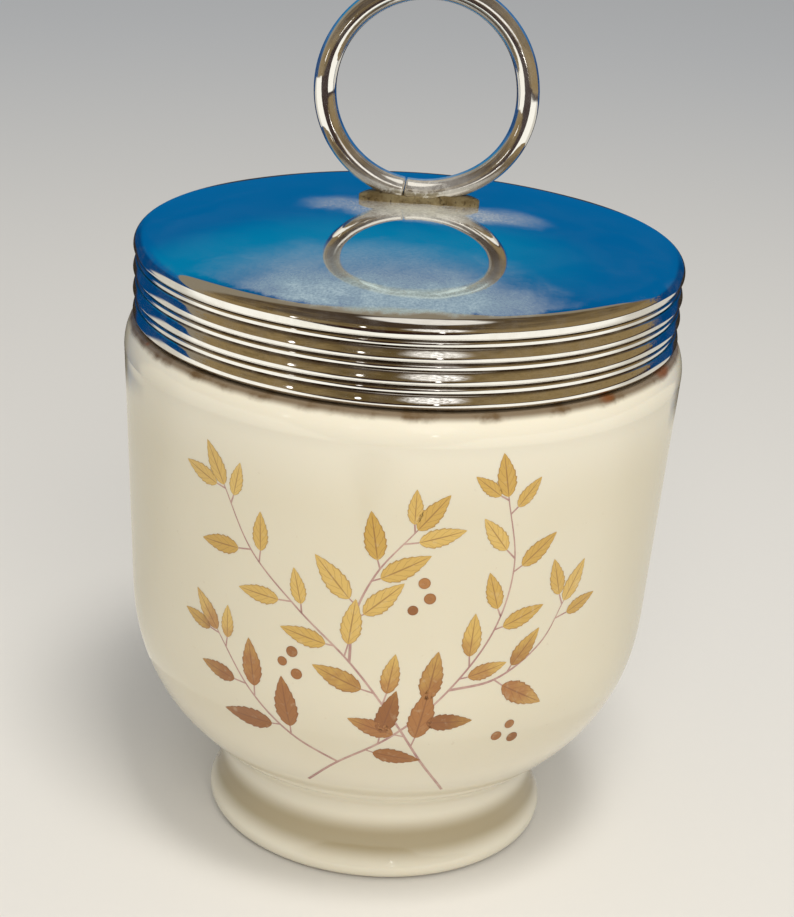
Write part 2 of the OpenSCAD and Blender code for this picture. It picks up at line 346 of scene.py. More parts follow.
def makeMirrorCard(c):
    material = bpy.data.materials.new("mirrorCard")
    material.use_nodes = True
    material.cycles.emission_sampling = "NONE"
    sheet = Sheet(material.node_tree)
    sheet.place = sheet.node("TexCoord", out=3)
    right, back, up = sheet.split(sheet.vector("SUBTRACT", sheet.place, c["eye"]))
    down = up * -1.0
    height = c["eye"][2]
    cloud = sheet.noise(26, 5, 0.65)
    sideways = abs(right + 0.02)
    aside = abs(right)
    onRight = right.smooth(-0.02, 0.02)
    fine = sheet.noise(130, 5, 0.65)

    # the front, dark below and mottled above, with a gleam high up
    pale = (cloud * 0.9 + sideways * 1.9).smooth(0.44, 0.92)
    front = sheet.mix(pale, c["olive"], c["tan"])
    front = sheet.mix(fine.smooth(0.50, 0.66) * 0.45, front, c["olive"])
    front = sheet.mix(up.smooth(0.050, 0.085) * (1 - pale * 0.6), front, c["high"])
    away = sheet.reach(Vector(c["gleamMiddle"]) * mm, c["gleamScale"])
    gleam = 1 - (away + (cloud - 0.5) * 0.03).smooth(c["gleamHalf"] * mm * 0.70, c["gleamHalf"] * mm)
    front = sheet.mix(gleam * (0.50 + fine * 0.8), front, c["gleam"])
    front = sheet.mix(up.smooth(-0.022, -0.012), c["low"], front)

    # the blue behind, up to its top edge, and what is over it
    glow = up.smooth(0.075, 0.115) * (1 - right.smooth(0.02, 0.09))
    blue = sheet.mix(glow, c["blue"], c["blueGlow"])
    blue = sheet.mix(up.smooth(0.125, 0.165), blue, c["blueTop"])
    blue = sheet.mix((1 - up.smooth(0.03, 0.07)) * aside.smooth(0.08, 0.14), blue, c["blueLow"])
    blue = sheet.mix((up - back * c["blueSlope"]).smooth(-0.002, 0.004), blue, c["over"])
    corner = back + sideways * (0.14 - onRight * 0.54) + (fine - 0.5) * (0.22 - up.smooth(0.04, 0.09) * 0.20)
    tone = sheet.mix(corner.smooth(-0.015, 0.015), front, blue)

    # the pale floor round the cup
    ratio = back / (sideways + 0.02)
    spread = ratio * (1 - onRight * 0.42) + (height - down) * 6.0
    beforeBlue = 1 - spread.smooth(0.55, 0.74) * aside.smooth(0.062, 0.080)
    beforeBlue = beforeBlue * (down * (c["backEdge"] / height) - back + sideways).smooth(-0.006, 0.006)
    behindEdge = (down * (c["frontEdge"] / height) + back + sideways * 1.05).smooth(-0.006, 0.006)
    horizon = down + sideways.smooth(0.08, 0.18) * (0.027 - onRight * 0.017) - ratio.smooth(0.2, 1.2) * 0.05
    lowEnough = horizon.smooth(c["horizon"] - 0.003, c["horizon"] + 0.003)
    floor = sheet.mix(back.smooth(-0.02, 0.04), c["floor"], c["floorBehind"])
    shade = (back - aside * 1.1).smooth(0.0, 0.05) * (1 - up.smooth(-0.040, -0.022))
    tone = sheet.mix(shade, tone, c["behindLow"])
    near = (1 - sheet.reach(scale=(1, 1, 0)).smooth(*c["nearFloor"])) * down.smooth(0.060, 0.068)
    shown = sheet.maths("MAXIMUM", beforeBlue * behindEdge * lowEnough, near * back.smooth(-0.03, 0.0))
    tone = sheet.mix(shown, tone, floor)
    fleck = 0.25 + fine.smooth(0.36, 0.62)
    for centre, half, flat, softness, brightness in c["lamps"]:
        away = sheet.reach(Vector(centre) * mm, (1, 1, flat))
        spot = 1 - away.smooth(half * (1 - softness) * mm, half * (1 + softness) * mm)
        if brightness < 1.5:
            spot = spot * fleck
        tone = sheet.mix(spot, tone, (brightness, brightness * 0.97, brightness * 0.92))
    nodes = sheet.tree.nodes
    sheet.feed(nodes["Material Output"].inputs["Surface"], sheet.node("Emission", {"Color": tone}))
    nodes.remove(nodes["Principled BSDF"])

    radius = c["radius"] / mm
    profile = [(radius * cos(a), radius * sin(a)) for a in np.radians(np.linspace(0, 90, 40))]
    profile[-1] = (0, radius)
    floorPlan = [(radius, c["floorHeight"]), (c["floorStart"], c["floorHeight"])]
    for name, points in (("mirrorCard", profile), ("floorCard", floorPlan)):
        piece = lathe(name, points, material, segments=96)
        for ray in ("camera", "diffuse", "transmission", "shadow"):
            setattr(piece, "visible_" + ray, False)


makeCamera(view)
makeStudio(studio)
makeMirrorCard(mirrorCard)
print("camera, floor and lights made")


# finishes
porcelainLook = {
    "body": (0.740, 0.672, 0.508),
    "cloudy": (0.800, 0.750, 0.610),
    "freckles": (0.60, 0.50, 0.35),
    "ends": (0.870, 0.820, 0.685),  # painted light: paler at the foot and the shoulder, which get more bounce from the floor and more light from above
    "waistShade": (0.330, 0.255, 0.125),  # painted shadow of the bowl in the waist of the foot, over glaze that pools thicker there
    "bare": (0.560, 0.490, 0.370),  # unglazed ring that it stands on
    "grimeAndShade": (0.110, 0.056, 0.012),  # painted shade and painted reflection of the lid on the glaze in the gap under the lid, with some grime
    "grimeAndShadeHeights": (60.95, 61.72),  # millimetres
    "neckGrime": (0.45, 0.36, 0.24),
    "stain": (0.190, 0.056, 0.008),  # rust from the lid
    "stainReach": 30.9,  # millimetres from the cup's axis
    # azimuth in degrees, height and half width in millimetres
    "stainSpots": [(44.5, 61.9, 1.5), (66.5, 62.0, 2.1), (-63, 61.9, 0.9), (131, 61.9, 1.4),
                   (-140, 61.9, 1.1)],
}


def makePorcelain(look):
    f = Finish("glazedPorcelain", Roughness=0.09, IOR=1.52, Subsurface_Weight=0.12)
    f.shader.inputs["Subsurface Radius"].default_value = (1.0, 0.75, 0.5)
    f.shader.inputs["Subsurface Scale"].default_value = 0.0012
    cloud = f.noise(55, 4, 0.55)
    f.tone = look["body"]
    f.lay(cloud.smooth(0.35, 0.7) * 0.22, look["cloudy"])
    freckle = f.noise(1500, 2).smooth(0.70, 0.78)
    f.lay(freckle * 0.25, look["freckles"])
    # painted light: paler low on the bowl and at the shoulder
    ends = f.above(50, 60) + (1 - f.above(10, 24))
    f.lay(ends * 0.62, look["ends"])
    # painted shadow of the bowl over the foot's waist
    waist = f.above(1.8, 4.2) * (1 - f.above(5.4, 8.2))
    f.lay(waist * 0.82, look["waistShade"])
    foot = 1 - f.above(0.15, 0.5)
    f.lay(foot, look["bare"])
    # painted shade and reflection under the lid's edge, mixed with grime
    grimeAndShade = f.noise(260, 5, 0.6).smooth(0.45, 0.7)
    low, high = look["grimeAndShadeHeights"]
    underLid = (f.z + (grimeAndShade - 0.5) * 0.0002).smooth(low * mm, high * mm) * (1 - f.above(62.3, 62.6))
    f.lay(underLid * (0.86 + grimeAndShade * 0.12), look["grimeAndShade"])
    stained = 0.0
    for azimuth, height, size in look["stainSpots"]:
        a = radians(azimuth)
        centre = (look["stainReach"] * sin(a), -look["stainReach"] * cos(a), height)
        away = f.reach(Vector(centre) * mm, (1, 1, 2.3))
        ragged = away + f.noise(900, 4) * 0.0012
        stained = stained + (1 - ragged.smooth(size * mm * 0.6, size * mm * 1.5)) * 0.85
    f.lay(stained, look["stain"])
    threads = f.above(62.6, 63.2) * f.noise(420, 4).smooth(0.5, 0.75)
    f.lay(threads * 0.25, look["neckGrime"])
    smudge = f.noise(75, 5, 0.6, 0.4).smooth(0.48, 0.72)
    f.paint(Base_Color=f.tone, Roughness=0.075 + smudge * 0.07 + foot * 0.5 + stained * 0.2 + underLid * 0.3)
    f.bump(f.noise(70, 2) + f.noise(420, 2) * 0.12, 0.35, 0.00012)
    return f.material


steelLook = {
    "clean": (0.885, 0.875, 0.855),
    "haze": (0.520, 0.640, 0.650),  # dried water marks
    "film": (0.640, 0.630, 0.540),  # flux round the solder
    "grooveShade": (0.160, 0.105, 0.055),  # painted shade in the grooves
    "dull": (0.58, 0.52, 0.40),  # on the beads
    "smear": (0.78, 0.74, 0.66),  # on the wire
    # pale film on the lower wire, partly a painted sheen of the light from above
    "wireFilmAndSheen": (0.95, 0.90, 0.78),
    "tarnish": (0.300, 0.225, 0.100),
    # haze on the crown: middle and half widths in millimetres, and strength
    "hazePatches": [
        ((-5, -22.5), (18, 8.5), 0.24), ((3.5, -27.5), (18, 6.5), 0.50), ((-11, -26), (9, 5), 0.32)],
    # the same for the flux round the solder
    "filmPatches": [
        ((-8.0, -1.4), (4.4, 3.2), 0.44), ((10.0, -3.2), (5.8, 3.6), 0.46), ((0.9, -3.9), (9.0, 4.1), 1.2)],
}


def patchesOn(f, patches, ragged):
    # oval patches with ragged edges, laid over each other
    total = 0.0
    for (x, y), (halfX, halfY), strength in patches:
        away = f.reach((x * mm, y * mm, 0), (1 / halfX / mm, 1 / halfY / mm, 0))
        total = total + (1 - (away + ragged).smooth(0.15, 1.2)) * strength
    return total


def makeLidMetal(look, grooves):
    f = Finish("polishedLidMetal")
    onCrown = f.above(71.2, 71.9)
    onSkirt = 1 - onCrown
    ragged = (f.noise(210, 5, 0.62, 0.6) - 0.5) * 0.75
    grain = f.noise(3600, 3, 0.6).smooth(0.25, 0.78)
    mottle = f.noise(150, 6, 0.66, 0.5).smooth(0.32, 0.74)
    reach = f.reach(scale=(1, 1, 0))
    onCrown = onCrown * (1 - (reach + (mottle - 0.5) * 0.0012).smooth(28.9 * mm, 29.8 * mm))
    haze = mottle * 0.012 + patchesOn(f, look["hazePatches"], ragged)
    haze = haze * (0.72 + mottle * 0.25) * (0.68 + grain * 0.55) * onCrown
    speckle = f.noise(1.0, 3, 0.6, place=f.stretched((3200, 7000, 7000))).smooth(0.40, 0.68)
    film = patchesOn(f, look["filmPatches"], ragged * 1.1) * (0.42 + speckle * 0.50) * onCrown
    cover = f.maths("MINIMUM", haze + film, 0.85)
    f.tone = look["clean"]
    f.lay(haze * 2.6, look["haze"])
    f.lay(film * 1.3, look["film"])
    # painted shade along the grooves and under each fine rib
    inGrooves = 0.0
    for height in grooves:
        inGrooves = inGrooves + (1 - abs(f.z - height * mm).smooth(0.04 * mm, 0.16 * mm))
    clumps = f.noise(330, 5, 0.6).smooth(0.3, 0.65)
    f.lay(inGrooves * (0.60 + clumps * 0.38), look["grooveShade"])
    turned = f.noise(1.0, 3, place=f.stretched((90, 90, 6500)))
    dull = f.noise(420, 6, 0.68).smooth(0.40, 0.75) * onSkirt
    f.lay(dull * 0.22, look["dull"])
    scratches = 0.0
    for turn, seed in ((0.3, 0.0), (1.2, 3.1), (2.3, 7.7)):
        lines = f.vector("ADD", f.stretched((60, 2600, 40), (0, 0, turn)), (seed, seed, seed))
        scratches = scratches + f.noise(1.0, 2, place=lines).smooth(0.69, 0.76)
    f.paint(Base_Color=f.tone, Metallic=1 - cover - dull * 0.04)
    f.paint(Roughness=0.022 + cover * 0.06 + scratches * 0.04 + inGrooves * 0.12 + dull * 0.09)
    level = f.noise(85, 2) + (turned - 0.5) * onSkirt * 0.012
    f.bump(level + scratches * 0.004 + grain * onCrown * 0.004, 0.5, 0.00010)
    return f.material


def makeWireMetal(look):
    f = Finish("polishedWire")
    smear = f.noise(240, 5, 0.6, 0.4).smooth(0.42, 0.72)
    low = 1 - f.above(76.8, 80.4)
    speckle = f.noise(1500, 5, 0.7).smooth(0.45, 0.68)
    # pale film low on the wire, lightened into a painted sheen
    film = low * (0.22 + smear * 0.16 + speckle * 0.16)
    f.tone = look["clean"]
    f.lay(smear * 0.16, look["smear"])
    f.lay(film * 1.2, look["wireFilmAndSheen"])
    tarnish = 1 - (f.z + (speckle + smear - 0.8) * 0.0008).smooth(76.4 * mm, 77.3 * mm)
    f.lay(tarnish * 0.8, look["tarnish"])
    scuff = f.noise(2200, 3).smooth(0.62, 0.74)
    f.paint(Base_Color=f.tone, Metallic=0.97 - film * (0.9 - tarnish * 0.5) - smear * 0.06)
    f.paint(Roughness=0.032 + smear * 0.05 + film * 0.25 + scuff * 0.05)
    f.bump(f.noise(300, 3), 0.5, 0.00008)
    return f.material


solderLook = {
    "dark": (0.230, 0.165, 0.070),
    "light": (0.440, 0.360, 0.200),
    "pits": (0.060, 0.038, 0.018),
    # painted shade in the pockets between the wire and the solder's ends
    "ends": (0.030, 0.019, 0.011),
    "endsFrom": 0.7,  # millimetres to the right of the crown's middle
}


def makeSolder(look):
    f = Finish("tarnishedSolder")
    lumps = f.noise(620, 6, 0.66)
    fine = f.noise(2400, 4, 0.6)
    f.tone = look["dark"]
    f.lay(lumps.smooth(0.35, 0.65), look["light"])
    f.lay(fine.smooth(0.55, 0.70) * 0.8, look["pits"])
    # painted shade in the pockets at the solder's ends, next to the wire
    ends = abs(f.x - look["endsFrom"] * mm).smooth(3.4 * mm, 5.2 * mm)
    ends = ends * (f.z + (lumps - 0.5) * 0.001).smooth(76.5 * mm, 77.2 * mm)
    f.lay(ends * 0.92, look["ends"])
    f.paint(Base_Color=f.tone, Metallic=0.55 - ends * 0.4, Roughness=0.36 + lumps * 0.30)
    f.bump(lumps + fine * 0.3, 0.9, 0.00030)
    return f.material


# two shades of each, the first the main one
shades = {
    "seal": ((0.030, 0.027, 0.025), (0.14, 0.13, 0.115)),
    "collar": ((0.60, 0.585, 0.55), (0.36, 0.29, 0.19)),
    "amber": ((0.560, 0.330, 0.060), (0.700, 0.470, 0.130)),
    "russet": ((0.270, 0.095, 0.020), (0.430, 0.185, 0.050)),
    "leafLines": ((0.200, 0.070, 0.022), (0.78, 0.66, 0.42)),
    "stems": ((0.400, 0.215, 0.190), (0.560, 0.370, 0.300)),
}


def makeRubber():
    f = Finish("sealRubber")
    dust = f.noise(520, 5, 0.6).smooth(0.45, 0.75)
    f.paint(Base_Color=f.mix(dust * 0.5, *shades["seal"]))
    f.paint(Roughness=0.55 + dust * 0.25)
    f.bump(f.noise(1800, 4), 0.4, 0.0001)
    return f.material


def makeCollarMetal():
    f = Finish("collarMetal", Metallic=1.0)
    blotch = f.noise(300, 5, 0.62).smooth(0.4, 0.7)
    turned = f.noise(1.0, 2, place=f.stretched((60, 60, 5200)))
    tone = f.mix(blotch * 0.6, *shades["collar"])
    f.paint(Base_Color=tone, Roughness=0.26 + blotch * 0.22)
    f.bump(turned, 0.25, 0.00005)
    return f.material


def makePrint():
    # fired enamel: amber towards the tips, russet towards the base, with darker veins and rims
    f = Finish("firedEnamel", IOR=1.52)
    along, across, ripe, shade = (f.node("Attribute", out=2, attribute_name=name)
                                  for name in ("along", "across", "ripe", "shade"))
    amber = f.mix(shade, *shades["amber"])
    russet = f.mix(shade, *shades["russet"])
    veins, pale = shades["leafLines"]
    wash = f.noise(420, 4, 0.6)
    blend = (ripe + (along - 0.5) * 0.45 + (wash - 0.5) * 0.8).smooth(0.15, 0.85)
    f.tone = f.mix(blend, russet, amber)
    off = abs(across)
    rib = 1 - off.smooth(0.03, 0.11)
    fan = f.maths("PINGPONG", along * 5.0 - off * 1.6, 0.5)
    side = (1 - fan.smooth(0.02, 0.09)) * off.smooth(0.05, 0.2) * 0.6
    lines = f.maths("MAXIMUM", f.maths("MAXIMUM", rib, side), off.smooth(0.80, 0.97) * 0.75)
    f.lay(lines * 0.62, veins)
    f.lay(f.noise(1300, 3).smooth(0.55, 0.8) * 0.22, pale)
    f.paint(Base_Color=f.tone, Roughness=0.13 + wash * 0.08)
    return f.material


def makeStemPrint():
    f = Finish("firedStemEnamel", IOR=1.52)
    wash = f.noise(500, 4, 0.6)
    tone = f.mix(wash.smooth(0.3, 0.7), *shades["stems"])
    f.paint(Base_Color=tone, Roughness=0.13 + wash * 0.08)
    return f.material


# cup
cupSizes = {
    "bodyDiameter": 63.5,
    "widestHeight": 58.8,
    "wallLean": 2.55,  # degrees
    "bowlTop": 30.0,
    "bowlDepth": 25.3,
    "bowlPower": 2.38,
    "bowlEnd": 44,  # degrees
    "wallThickness": 3.3,
    "floorHeight": 7.6,
    "ledgeHeight": 62.0,
    "shoulderRadius": 6.0,
    "rimHeight": 70.0,
    "neckDiameter": 56.0,
    "neckThickness": 2.8,
    "footDiameter": 41.0,
    "waistDiameter": 38.3,
    "footEdge": 1.35,
    "footLand": 1.2,
    "footRecess": 3.6,
    "flareAngle": 25,  # degrees
    "printRadius": 31.0,  # the print's places round the cup are measured at this radius
}


def wallRadius(c, height):
    return c["bodyDiameter"] / 2 - (c["widestHeight"] - height) * tan(radians(c["wallLean"]))


def bowlPoint(c, angle, depth, inset):
    a = radians(angle)
    height = c["bowlTop"] - depth * sin(a) ** (2 / c["bowlPower"])
    return ((wallRadius(c, height) - inset) * cos(a), height)


def cupProfile(c):
    join = bowlPoint(c, c["bowlEnd"], c["bowlDepth"], 0)
    near = bowlPoint(c, c["bowlEnd"] - 0.5, c["bowlDepth"], 0)
    lean = degrees(atan((near[0] - join[0]) / (near[1] - join[1])))
    waistX = c["waistDiameter"] / 2
    waistArc = (join[0] - waistX) / (1 - cos(radians(lean)))
    waistZ = join[1] - waistArc * sin(radians(lean))
    edge = c["footEdge"]
    footX = c["footDiameter"] / 2 - edge
    flare = radians(c["flareAngle"])
    flareX, flareZ = footX + edge * cos(flare), edge * (1 + sin(flare))
    recessX = footX - c["footLand"]
    recess = c["footRecess"]

    points = [(0, recess)] + between((0, recess), (recessX - recess, recess), 10)
    points += arcPoints((recessX - recess, recess / 2), recess / 2, 84, 30, 8)
    points += between(points[-1], (recessX - 0.2, 0.30), 5)
    points += [(recessX - 0.06, 0.09), (recessX + 0.08, 0.01), (recessX + 0.25, 0.0)]
    points += between((recessX + 0.25, 0.0), (footX, 0), 4)
    points += arcPoints((footX, edge), edge, -82, c["flareAngle"], 15)
    for i in range(1, 25):
        z = flareZ + (waistZ - flareZ) * i / 25
        reach = (waistZ - z) / (waistZ - flareZ)
        points.append((waistX + (flareX - waistX) * reach ** 2, z))
    points += arcPoints((waistX + waistArc, waistZ), waistArc, 180, 180 - lean, 14)
    points += [bowlPoint(c, c["bowlEnd"] * i / 44, c["bowlDepth"], 0) for i in range(43, -1, -1)]
    points += between(points[-1], (wallRadius(c, c["widestHeight"] - 0.3), c["widestHeight"] - 0.3), 22)

    radius = c["shoulderRadius"]
    soft = 0.6
    bodyR = c["bodyDiameter"] / 2
    ledgeY = c["ledgeHeight"] - soft - c["widestHeight"]
    ledgeX = bodyR - radius + sqrt((radius - soft) ** 2 - ledgeY ** 2)
    end = degrees(asin(ledgeY / (radius - soft)))
    neckR = c["neckDiameter"] / 2
    root = 0.8
    points += arcPoints((bodyR - radius, c["widestHeight"]), radius, -c["wallLean"], end, 14)
    points += arcPoints((ledgeX, c["ledgeHeight"] - soft), soft, end + 6, 90, 7)
    points += arcPoints((neckR + root, c["ledgeHeight"] + root), root, 270, 180, 7)
    lip = c["neckThickness"] / 2
    points += between(points[-1], (neckR, c["rimHeight"] - lip), 12)
    points += arcPoints((neckR - lip, c["rimHeight"] - lip), lip, 8, 180, 22)
    bore = neckR - c["neckThickness"]
    wide = wallRadius(c, 56) - c["wallThickness"]
    points += between(points[-1], (bore, 63.5), 5)
    for i in range(1, 20):
        t = i / 19
        points.append((bore + (wide - bore) * (1 - cos(pi * t)) / 2, 63.5 - 7.5 * t))
    points += between(points[-1], bowlPoint(c, 0, 22, c["wallThickness"]), 12)
    depth = c["bowlTop"] - c["floorHeight"]
    points += [bowlPoint(c, 90 * i / 40, depth, c["wallThickness"]) for i in range(1, 40)]
    return points + [(0, c["floorHeight"])]


porcelain = makePorcelain(porcelainLook)
cupBody = lathe("cupBody", cupProfile(cupSizes), porcelain)
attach(cupBody, "cup")
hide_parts("cup")
print("cup made:", len(cupBody.data.polygons), "faces")


# geometry node trees
def newTree(name, inputs):
    # inputs: name -> socket type, between the Geometry and Material sockets
    tree = bpy.data.node_groups.new(name, "GeometryNodeTree")
    for key, kind in {"Geometry": "Geometry", **inputs, "Material": "Material"}.items():
        tree.interface.new_socket(key, in_out="INPUT", socket_type="NodeSocket" + kind)
    tree.interface.new_socket("Geometry", in_out="OUTPUT", socket_type="NodeSocketGeometry")
    sheet = Sheet(tree, "GeometryNode")
    entry = tree.nodes.new("NodeGroupInput")
    given = {s.name: Signal(sheet, s) for s in entry.outputs if s.name}
    return sheet, given


def closeTree(sheet, result, given):
    # every tree ends in Realize Instances and Set Material
    result = sheet.node("RealizeInstances", {0: result})
    result = sheet.node("SetShadeSmooth", {0: result})
    result = sheet.node("SetMaterial", {0: result, "Material": given["Material"]})
    sheet.feed(sheet.tree.nodes.new("NodeGroupOutput").inputs[0], result)
    return sheet.tree


def grow(name, source, tree, values):
    # runs a tree on a mesh and keeps the plain mesh that it makes
    piece = link(bpy.data.objects.new(name, source))
    modifier = piece.modifiers.new("grow", "NODES")
    modifier.node_group = tree
    for item in tree.interface.items_tree:
        if item.in_out == "INPUT" and item.name in values:
            modifier[item.identifier] = values[item.name]
    bpy.context.view_layer.update()
    grown = piece.evaluated_get(bpy.context.evaluated_depsgraph_get())
    mesh = bpy.data.meshes.new_from_object(grown)
    piece.modifiers.remove(modifier)
    piece.data = mesh
    mesh.name = name
    return piece


def threadTree():
    # a ridge that winds up round a wall
    sizes = ("Wall radius", "Pitch", "Turns", "Ridge width", "Ridge height", "Start height", "Start angle")
    sheet, given = newTree("threadRidge", dict.fromkeys(sizes, "Float"))
    rise = given["Pitch"] * given["Turns"]
    path = sheet.node("CurveSpiral", {
        "Resolution": 120, "Rotations": given["Turns"], "Start Radius": given["Wall radius"],
        "End Radius": given["Wall radius"], "Height": rise, "Reverse": True})
    lift = sheet.combine({2: given["Start height"]})
    spin = sheet.combine({2: given["Start angle"]})
    path = sheet.node("Transform", {"Geometry": path, "Translation": lift, "Rotation": spin})
    path = sheet.node("SetCurveNormal", {"Curve": path}, mode="Z_UP")
    place = sheet.node("SplineParameter")
    taper = sheet.maths("MINIMUM", place, 1.0 - place).smooth(0.0, 0.08, 0.05, 1.0)
    section = sheet.node("CurvePrimitiveCircle", {"Resolution": 28, "Radius": 1.0})
    shape = sheet.combine({0: given["Ridge height"], 1: given["Ridge width"] / 2.0, 2: 1.0})
    section = sheet.node("Transform", {"Geometry": section, "Scale": shape})
    ridge = sheet.node("CurveToMesh", {
        "Curve": path, "Profile Curve": section, "Scale": taper, "Fill Caps": True})
    return closeTree(sheet, ridge, given)


screwSizes = {
    "pitch": 3.0,  # millimetres
    "turns": 1.6,
    "neck": (28.0, 1.5, 0.78, 64.0),  # wall radius, ridge width and height, start height
    "collar": (29.0, 1.2, 0.72, 0.6),  # the same, with the start over the collar's low end
}
ridgeTree = threadTree()


def makeThread(name, sizes, base, startAngle, material):
    wall, width, height, start = sizes
    return grow(name, bpy.data.meshes.new(name), ridgeTree, {
        "Wall radius": wall * mm,
        "Pitch": screwSizes["pitch"] * mm,
        "Turns": screwSizes["turns"],
        "Ridge width": width * mm,
        "Ridge height": height * mm,
        "Start height": base + start * mm,
        "Start angle": startAngle,
        "Material": material,
    })


neckThread = makeThread("neckThread", screwSizes["neck"], 0.0, 0.0, porcelain)
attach(neckThread, "cup")


# leaf spray on the cup
spray = {
    "leafLength": 6.0,  # millimetres
    "leafWidth": 2.5,
    "berryRadius": 0.62,
    "stemHalfWidth": 0.13,
    "lift": 0.022,
    "seed": 11,
    # sprigs: points of (round the cup, height) in millimetres, from base to tip
    "sprigs": [
        [(9.5, 15.0), (5.5, 20.5), (1.5, 27.0), (-3.5, 33.5), (-9.5, 39.0), (-15.0, 44.5), (-18.5, 51.0)],
        [(-9.0, 15.5), (-4.5, 20.0), (1.5, 24.5), (7.5, 30.5), (12.0, 37.5), (13.5, 45.0), (12.0, 53.0)],
        [(-3.5, 33.5), (-3.2, 39.0), (-1.0, 44.5), (2.8, 49.5)],
        [(-4.5, 20.0), (-10.0, 23.0), (-15.0, 27.5), (-19.5, 33.5)],
        [(7.5, 30.5), (13.0, 31.5), (18.0, 35.0), (20.5, 39.5)],
    ],
    "leafPairs": [6, 6, 3, 3, 2],
    "berries": [(2.9, 40.2), (4.6, 41.6), (3.9, 43.4), (-9.3, 31.0), (-11.0, 32.2), (-9.9, 33.6),
                (15.4, 25.2), (14.0, 23.8), (16.2, 23.2)],
}


def onCup(c, across, height):
    # point on the glaze, and the level direction round the cup there
    if height < c["bowlTop"]:
        sine = ((c["bowlTop"] - height) / c["bowlDepth"]) ** (c["bowlPower"] / 2)
        radius = wallRadius(c, height) * sqrt(1 - sine * sine)
    else:
        radius = wallRadius(c, height)
    a = across / c["printRadius"]
    outward = Vector((sin(a), -cos(a), 0))
    sideways = Vector((cos(a), sin(a), 0))
    return outward * radius * mm + Vector((0, 0, height * mm)), sideways


def cupFrame(c, across, height):
    # point, outward normal and the two directions of the surface
    here, sideways = onCup(c, across, height)
    above = onCup(c, across, height + 0.05)[0]
    up = (above - here).normalized()
    return here, sideways.cross(up).normalized(), sideways, up


def smoothPath(points, step):
    # Catmull-Rom through the points, in millimetres
    padded = [2 * np.array(points[0]) - np.array(points[1]), *map(np.array, points),
              2 * np.array(points[-1]) - np.array(points[-2])]
    out = []
    for i in range(1, len(padded) - 2):
        p0, p1, p2, p3 = padded[i - 1:i + 3]
        count = max(2, int(np.linalg.norm(p2 - p1) / step))
        for t in np.arange(count) / count:
            out.append(0.5 * (2 * p1 + (p2 - p0) * t + (2 * p0 - 5 * p1 + 4 * p2 - p3) * t ** 2
                              + (3 * p1 - p0 - 3 * p2 + p3) * t ** 3))
    return out + [padded[-2]]


def printPoints(s):
    # where each leaf, berry and stem point lies
    chance = random.Random(s["seed"])
    leaves = []
    stems = []
    for points, pairs in zip(s["sprigs"], s["leafPairs"]):
        path = smoothPath(points, 0.4)
        stems.append((path, [s["stemHalfWidth"] * (1.25 - 0.75 * i / len(path)) for i in range(len(path))]))
        first = int(len(path) * (0.22 if len(points) > 5 else 0.30))
        places = np.linspace(first, len(path) - 6, pairs)
        for n, at in enumerate(places):
            i = int(at)
            tangent = path[min(i + 1, len(path) - 1)] - path[i - 1]
            heading = atan2(tangent[1], tangent[0])
            for side in (-1, 1):
                j = max(1, i + (4 if side > 0 else 0))
                j = min(j, len(path) - 1)
                turn = heading + side * radians(chance.uniform(38, 58))
                stalk = chance.uniform(0.9, 1.6)
                start = path[j] + stalk * np.array((cos(turn), sin(turn)))
                stems.append(([path[j], (path[j] + start) / 2, start], [0.10, 0.09, 0.08]))
                size = chance.uniform(0.80, 1.08) * (1.05 - 0.35 * n / max(1, pairs))
                leaves.append((start, turn - side * 0.12, size))
                chance.random()  # keeps the later draws as they are
        tip = path[-1] - path[-3]
        leaves.append((path[-1], atan2(tip[1], tip[0]), 0.85))
        chance.random()
    return leaves, stems, chance


def putAttributes(mesh, values):
    for key, numbers in values.items():
        vector = isinstance(numbers[0], (Vector, tuple))
        layer = mesh.attributes.new(key, "FLOAT_VECTOR" if vector else "FLOAT", "POINT")
        flat = [x for v in numbers for x in v] if vector else numbers
        layer.data.foreach_set("vector" if vector else "value", flat)


def leafMesh(s, c):
    leaves, stems, chance = printPoints(s)
    rows = []
    for (across, height), turn, size in leaves:
        here, normal, sideways, up = cupFrame(c, across, height)
        along = sideways * cos(turn) + up * sin(turn)
        ripe = min(1, max(0, (height - 24) / 14 + chance.uniform(-0.12, 0.12)))
        rows.append((here, normal, along, size, ripe, chance.random(), 0.0))
    for across, height in s["berries"]:
        here, normal, sideways, up = cupFrame(c, across, height)
        size = chance.uniform(0.85, 1.15)
        rows.append((here, normal, up, size, chance.uniform(0.0, 0.35), chance.random(), 1.0))
    mesh = bpy.data.meshes.new("leafPlaces")
    mesh.from_pydata([r[0] for r in rows], [], [])
    names = ("outward", "heading", "size", "ripe", "shade", "berry")
    putAttributes(mesh, {key: [r[i + 1] for r in rows] for i, key in enumerate(names)})
    return mesh, stems


def stemMesh(stems, c):
    verts, edges, outward, half = [], [], [], []
    for path, widths in stems:
        base = len(verts)
        for (across, height), width in zip(path, widths):
            here, normal, _, _ = cupFrame(c, across, height)
            verts.append(here)
            outward.append(normal)
            half.append(width * mm)
        edges += [(base + i, base + i + 1) for i in range(len(path) - 1)]
    mesh = bpy.data.meshes.new("stemPlaces")
    mesh.from_pydata(verts, edges, [])
    putAttributes(mesh, {"outward": outward, "half": half})
    return mesh


def readAttribute(sheet, name, kind="FLOAT"):
    return sheet.node("InputNamedAttribute", {"Name": name}, data_type=kind)


def storeAttribute(sheet, geometry, name, value):
    links = {"Geometry": geometry, "Name": name, "Value": value}
    return sheet.node("StoreNamedAttribute", links, data_type="FLOAT", domain="POINT")


